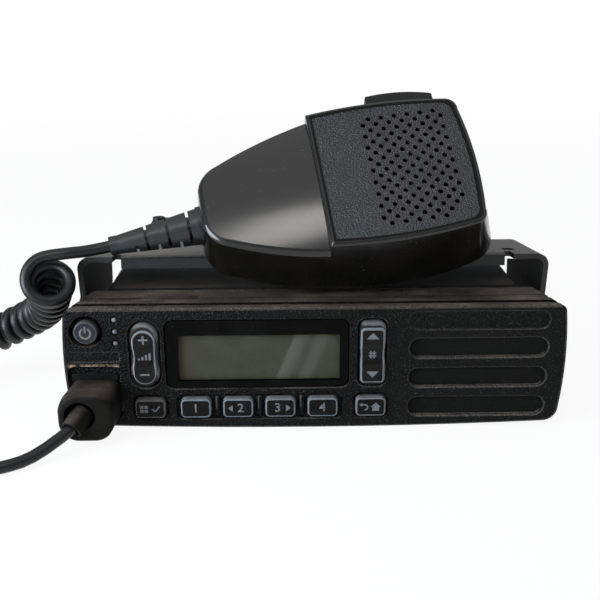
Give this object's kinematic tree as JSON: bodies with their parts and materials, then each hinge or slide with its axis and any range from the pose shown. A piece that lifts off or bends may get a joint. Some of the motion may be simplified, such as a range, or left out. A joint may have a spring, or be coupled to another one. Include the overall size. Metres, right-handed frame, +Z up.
{
  "type": "mobile two-way radio",
  "caption": "Mobile two-way radio with buttoned control head, mounting bracket and a hand microphone on a curly cord plugged into its face.",
  "frame": {"origin": "under the middle of the radio's box, on the surface it stands on, without the cord", "axes": "+X to the right of the face, +Y away from the user, +Z up"},
  "size_m": [0.2602, 0.1804, 0.1084],
  "materials": {
    "head_plastic": "fine spark texture",
    "window": "clear window, lightly smoked",
    "display_glass": "grey-green liquid crystal",
    "white_plastic": "moulded",
    "lens_plastic": "smoked",
    "key_plastic": "translucent rim, dark printed face",
    "soft_rubber": "silicone",
    "circuit_board": "solder mask",
    "cloth": "open weave",
    "speaker_metal": "pressed",
    "socket_plastic": "moulded",
    "cast_body": "black powder coat on die casting",
    "lid_paint": "black paint, dusty",
    "screw_steel": "zinc",
    "shield_tin": "tinned",
    "amplifier_metal": "machined",
    "connector_metal": "nickel on brass",
    "bracket_paint": "black paint, worn",
    "knob_plastic": "fluted",
    "mic_plastic": "satin on the neck, gloss on the sides",
    "inlay_plastic": "spark texture",
    "talk_plastic": "matt",
    "stud_metal": "turned",
    "relief_rubber": "satin",
    "cord_rubber": "satin",
    "boot_rubber": "matt, dusty",
    "plug_plastic": "clear"
  },
  "bodies": {
    "radio": {"front_bezel": "head_plastic", "display_lens": "window", "lcd_panel": "display_glass", "backlight_frame": "white_plastic", "status_lenses": "lens_plastic", "keypad_membrane": "soft_rubber", "control_board": "circuit_board", "speaker_cloth": "cloth", "speaker": "speaker_metal", "mic_jack": "socket_plastic", "chassis": "cast_body", "top_cover": "lid_paint", "cover_gasket": "soft_rubber", "cover_screws": "screw_steel", "main_board": "circuit_board", "rf_shield": "shield_tin", "power_amplifier": "amplifier_metal", "antenna_connector": "connector_metal", "power_connector": "socket_plastic", "accessory_connector": "socket_plastic"},
    "power": {"power_button": "key_plastic"},
    "volume": {"volume_rocker": "key_plastic"},
    "channel": {"channel_rocker": "key_plastic"},
    "menu": {"menu_button": "key_plastic"},
    "preset_1": {"key_1": "key_plastic"},
    "preset_2": {"key_2": "key_plastic"},
    "preset_3": {"key_3": "key_plastic"},
    "preset_4": {"key_4": "key_plastic"},
    "back": {"back_button": "key_plastic"},
    "bracket": {"mounting_bracket": "bracket_paint", "bracket_washers": "screw_steel"},
    "left_screw": {"left_bracket_screw": "knob_plastic"},
    "right_screw": {"right_bracket_screw": "knob_plastic"},
    "microphone": {"mic_front_shell": "mic_plastic", "mic_back_shell": "mic_plastic", "mic_face_inlay": "inlay_plastic", "ptt_switch": "socket_plastic", "mic_board": "circuit_board", "mic_element": "shield_tin", "mic_hang_stud": "stud_metal", "mic_screws": "screw_steel", "mic_strain_relief": "relief_rubber", "mic_cord_lead": "cord_rubber", "mic_cord_curls": "cord_rubber", "plug_cord_lead": "cord_rubber", "plug_boot": "boot_rubber", "modular_plug": "plug_plastic"},
    "talk_bar": {"ptt_button": "talk_plastic"}
  },
  "joints": [
    {"name": "power_press", "type": "slide", "parent": "radio", "child": "power", "axis": [0, 1, 0], "range_m": [0, 0.0008], "stiffness_N_per_m": 1500, "springref_m": -0.0006},
    {"name": "menu_press", "type": "slide", "parent": "radio", "child": "menu", "axis": [0, 1, 0], "range_m": [0, 0.0008], "stiffness_N_per_m": 1500, "springref_m": -0.0006},
    {"name": "preset_1_press", "type": "slide", "parent": "radio", "child": "preset_1", "axis": [0, 1, 0], "range_m": [0, 0.0008], "stiffness_N_per_m": 1500, "springref_m": -0.0006},
    {"name": "preset_2_press", "type": "slide", "parent": "radio", "child": "preset_2", "axis": [0, 1, 0], "range_m": [0, 0.0008], "stiffness_N_per_m": 1500, "springref_m": -0.0006},
    {"name": "preset_3_press", "type": "slide", "parent": "radio", "child": "preset_3", "axis": [0, 1, 0], "range_m": [0, 0.0008], "stiffness_N_per_m": 1500, "springref_m": -0.0006},
    {"name": "preset_4_press", "type": "slide", "parent": "radio", "child": "preset_4", "axis": [0, 1, 0], "range_m": [0, 0.0008], "stiffness_N_per_m": 1500, "springref_m": -0.0006},
    {"name": "back_press", "type": "slide", "parent": "radio", "child": "back", "axis": [0, 1, 0], "range_m": [0, 0.0008], "stiffness_N_per_m": 1500, "springref_m": -0.0006},
    {"name": "volume_rock", "type": "hinge", "parent": "radio", "child": "volume", "pos_m": [-0.0572, -0.0682, 0.0275], "axis": [1, 0, 0], "range_deg": [-3, 3], "stiffness_Nm_per_rad": 0.5},
    {"name": "channel_rock", "type": "hinge", "parent": "radio", "child": "channel", "pos_m": [0.019, -0.0682, 0.0275], "axis": [1, 0, 0], "range_deg": [-3, 3], "stiffness_Nm_per_rad": 0.5},
    {"name": "bracket_tilt", "type": "hinge", "parent": "radio", "child": "bracket", "pos_m": [0, -0.0132, 0.0227], "axis": [-1, 0, 0], "range_deg": [-7, 11]},
    {"name": "left_screw_turn", "type": "hinge", "parent": "radio", "child": "left_screw", "pos_m": [-0.083, -0.0132, 0.0227], "axis": [-1, 0, 0], "continuous": true},
    {"name": "right_screw_turn", "type": "hinge", "parent": "radio", "child": "right_screw", "pos_m": [0.083, -0.0132, 0.0227], "axis": [1, 0, 0], "continuous": true},
    {"name": "plug_pull", "type": "slide", "parent": "radio", "child": "microphone", "axis": [0, -1, 0], "range_m": [0, 0.03]},
    {"name": "talk_press", "type": "slide", "parent": "microphone", "child": "talk_bar", "axis": [0.1513, -0.6614, -0.7346], "range_m": [0, 0.002], "stiffness_N_per_m": 1200, "springref_m": -0.001}
  ]
}
